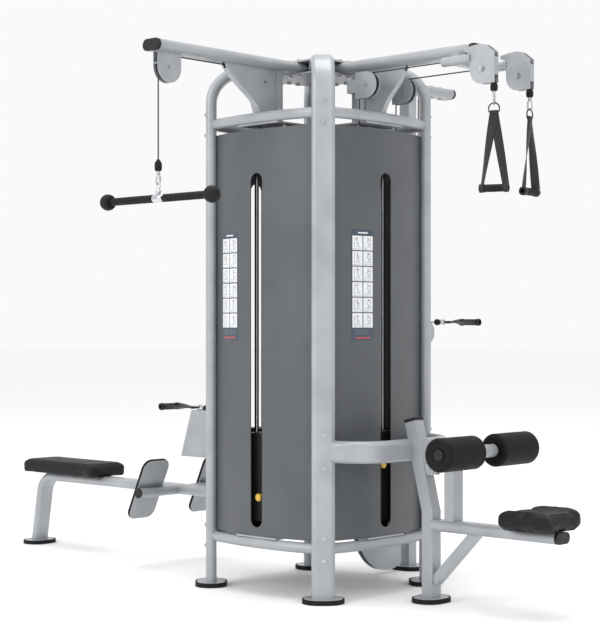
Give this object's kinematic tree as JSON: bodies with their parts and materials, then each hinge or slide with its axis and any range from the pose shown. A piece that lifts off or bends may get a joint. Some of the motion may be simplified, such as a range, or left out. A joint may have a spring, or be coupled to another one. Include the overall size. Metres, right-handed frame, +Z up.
{
  "type": "multi-station home gym",
  "caption": "Tower of weight stacks with high pulley, lat, seated row and adjustable cable stations around it.",
  "frame": {"origin": "on the floor under the middle of the four-column tower", "axes": "+X from the tower towards the lat seat, -X along the row bench, -Y towards the high pulley, +Y towards the adjustable pulley, +Z up"},
  "size_m": [3.631, 2.265, 2.4764],
  "materials": {
    "frame_paint": "satin powder coat",
    "shroud_paint": "satin powder coat",
    "bright_steel": "polished",
    "zinc_steel": "zinc plated",
    "plate_iron": "black enamel",
    "pad_rubber": "matte",
    "cap_plastic": "matte",
    "pulley_nylon": "satin",
    "knob_gold": "gloss",
    "upholstery": "grained vinyl",
    "webbing": "woven",
    "cable_jacket": "satin",
    "grip_rubber": "ribbed"
  },
  "bodies": {
    "frame": {"arch_front_back": "frame_paint", "arch_sides": "frame_paint", "rails": "frame_paint", "crossing_plates": "frame_paint", "bed_plate": "frame_paint", "arms": "frame_paint", "end_caps": "cap_plastic", "gussets": "frame_paint", "pulley_housings": "frame_paint", "shrouds": "shroud_paint", "foot_plates_steel": "frame_paint", "foot_pads": "pad_rubber", "bumpers": "pad_rubber", "guide_rods": "bright_steel", "resting_plates": "plate_iron", "lat_column": "frame_paint", "lat_beam": "frame_paint", "lat_yoke": "frame_paint", "lat_seat": "upholstery", "row_beam": "frame_paint", "row_seat": "upholstery", "foot_plates": "frame_paint", "foot_treads": "pad_rubber", "pulley_guards": "frame_paint", "adjust_column": "frame_paint", "fasteners": "zinc_steel", "cables": "cable_jacket", "cable_drop_high": "cable_jacket", "cable_drop_lat": "cable_jacket", "cable_drop_adjust": "cable_jacket", "cable_drop_row": "cable_jacket"},
    "stack_high": {"stack_high": "plate_iron"},
    "pin_high": {"pin_high": "knob_gold"},
    "stack_lat": {"stack_lat": "plate_iron"},
    "pin_lat": {"pin_lat": "knob_gold"},
    "stack_adjust": {"stack_adjust": "plate_iron"},
    "pin_adjust": {"pin_adjust": "knob_gold"},
    "stack_row": {"stack_row": "plate_iron"},
    "pin_row": {"pin_row": "knob_gold"},
    "bar": {"bar_rod": "bright_steel", "bar_grips": "grip_rubber"},
    "handle_near": {"handle_near": "webbing", "link_near": "zinc_steel"},
    "handle_far": {"handle_far": "webbing", "link_far": "zinc_steel"},
    "handle_adjust": {"handle_adjust": "webbing"},
    "handle_row": {"handle_row": "webbing"},
    "swivel_near": {"swivel_near": "frame_paint"},
    "swivel_far": {"swivel_far": "frame_paint"},
    "pulley_high_end": {"pulley_high_end": "pulley_nylon"},
    "pulley_high_inner": {"pulley_high_inner": "pulley_nylon"},
    "pulleys_lat_inner": {"pulleys_lat_inner": "pulley_nylon"},
    "pulley_near": {"pulley_near": "pulley_nylon"},
    "pulley_far": {"pulley_far": "pulley_nylon"},
    "pulley_row": {"pulley_row": "pulley_nylon"},
    "pulley_adjust": {"pulley_adjust": "pulley_nylon"},
    "carriage": {"carriage": "frame_paint"},
    "pop_pin": {"pop_pin": "cap_plastic"},
    "roller_arm": {"roller_arm": "frame_paint", "rollers": "upholstery"}
  },
  "joints": [
    {"name": "stack_high_lift", "type": "slide", "parent": "frame", "child": "stack_high", "axis": [0, 0, 1], "range_m": [0, 1.1], "deforming": ["cable_drop_high"]},
    {"name": "pin_high_pull", "type": "slide", "parent": "stack_high", "child": "pin_high", "axis": [0, -1, 0], "range_m": [0, 0.07]},
    {"name": "stack_lat_lift", "type": "slide", "parent": "frame", "child": "stack_lat", "axis": [0, 0, 1], "range_m": [0, 1.1], "deforming": ["cable_drop_lat"]},
    {"name": "pin_lat_pull", "type": "slide", "parent": "stack_lat", "child": "pin_lat", "axis": [1, 0, 0], "range_m": [0, 0.07]},
    {"name": "stack_adjust_lift", "type": "slide", "parent": "frame", "child": "stack_adjust", "axis": [0, 0, 1], "range_m": [0, 1.1], "deforming": ["cable_drop_adjust"]},
    {"name": "pin_adjust_pull", "type": "slide", "parent": "stack_adjust", "child": "pin_adjust", "axis": [0, 1, 0], "range_m": [0, 0.07]},
    {"name": "stack_row_lift", "type": "slide", "parent": "frame", "child": "stack_row", "axis": [0, 0, 1], "range_m": [0, 1.1], "deforming": ["cable_drop_row"]},
    {"name": "pin_row_pull", "type": "slide", "parent": "stack_row", "child": "pin_row", "axis": [-1, 0, 0], "range_m": [0, 0.07]},
    {"name": "bar_pull", "type": "slide", "parent": "frame", "child": "bar", "axis": [0, 0, -1], "range_m": [0, 1.1]},
    {"name": "swivel_near_turn", "type": "hinge", "parent": "frame", "child": "swivel_near", "pos_m": [1, -0.13, 2.372], "axis": [1, 0, 0], "range_deg": [-40, 0]},
    {"name": "swivel_far_turn", "type": "hinge", "parent": "frame", "child": "swivel_far", "pos_m": [1, 0.13, 2.372], "axis": [1, 0, 0], "range_deg": [0, 40]},
    {"name": "handle_near_pull", "type": "slide", "parent": "swivel_near", "child": "handle_near", "axis": [0, 0, -1], "range_m": [0, 1.1]},
    {"name": "handle_far_pull", "type": "slide", "parent": "swivel_far", "child": "handle_far", "axis": [0, 0, -1], "range_m": [0, 1.1]},
    {"name": "handle_row_pull", "type": "slide", "parent": "frame", "child": "handle_row", "axis": [-1, 0, 0], "range_m": [0, 1.1]},
    {"name": "carriage_slide", "type": "slide", "parent": "frame", "child": "carriage", "axis": [0, 0, 1], "range_m": [-0.8, 0.85]},
    {"name": "handle_adjust_pull", "type": "slide", "parent": "carriage", "child": "handle_adjust", "axis": [0, 1, 0], "range_m": [0, 1.1]},
    {"name": "pop_pin_pull", "type": "slide", "parent": "carriage", "child": "pop_pin", "axis": [1, 0, 0], "range_m": [0, 0.02], "stiffness_N_per_m": 800},
    {"name": "roller_arm_lift", "type": "hinge", "parent": "frame", "child": "roller_arm", "pos_m": [0.693, 0, 0.59], "axis": [0, -1, 0], "range_deg": [0, 35]},
    {"name": "pulley_high_end_spin", "type": "hinge", "parent": "frame", "child": "pulley_high_end", "pos_m": [0, -0.965, 2.348], "axis": [1, 0, 0], "continuous": true},
    {"name": "pulley_high_inner_spin", "type": "hinge", "parent": "frame", "child": "pulley_high_inner", "pos_m": [0, -0.377, 2.348], "axis": [1, 0, 0], "continuous": true},
    {"name": "pulleys_lat_inner_spin", "type": "hinge", "parent": "frame", "child": "pulleys_lat_inner", "pos_m": [0.424, 0, 2.32], "axis": [0, 1, 0], "continuous": true},
    {"name": "pulley_near_spin", "type": "hinge", "parent": "swivel_near", "child": "pulley_near", "pos_m": [1.073, -0.13, 2.32], "axis": [0, 1, 0], "continuous": true},
    {"name": "pulley_far_spin", "type": "hinge", "parent": "swivel_far", "child": "pulley_far", "pos_m": [1.073, 0.13, 2.32], "axis": [0, 1, 0], "continuous": true},
    {"name": "pulley_row_spin", "type": "hinge", "parent": "frame", "child": "pulley_row", "pos_m": [-0.62, 0, 0.76], "axis": [0, 1, 0], "continuous": true},
    {"name": "pulley_adjust_spin", "type": "hinge", "parent": "carriage", "child": "pulley_adjust", "pos_m": [0, 0.807, 1.198], "axis": [1, 0, 0], "continuous": true}
  ],
  "couplings": [
    {"joint": "bar_pull", "follows": "stack_high_lift", "ratio": 1},
    {"joint": "pulley_high_end_spin", "follows": "stack_high_lift", "rad_per_m": 19.231},
    {"joint": "pulley_high_inner_spin", "follows": "stack_high_lift", "rad_per_m": 19.231},
    {"joint": "handle_near_pull", "follows": "stack_lat_lift", "ratio": 1},
    {"joint": "handle_far_pull", "follows": "stack_lat_lift", "ratio": 1},
    {"joint": "pulleys_lat_inner_spin", "follows": "stack_lat_lift", "rad_per_m": 19.231},
    {"joint": "pulley_near_spin", "follows": "stack_lat_lift", "rad_per_m": 19.231},
    {"joint": "pulley_far_spin", "follows": "stack_lat_lift", "rad_per_m": 19.231},
    {"joint": "handle_row_pull", "follows": "stack_row_lift", "ratio": 1},
    {"joint": "pulley_row_spin", "follows": "stack_row_lift", "rad_per_m": -19.231},
    {"joint": "handle_adjust_pull", "follows": "stack_adjust_lift", "ratio": 1},
    {"joint": "pulley_adjust_spin", "follows": "stack_adjust_lift", "rad_per_m": -19.231}
  ]
}
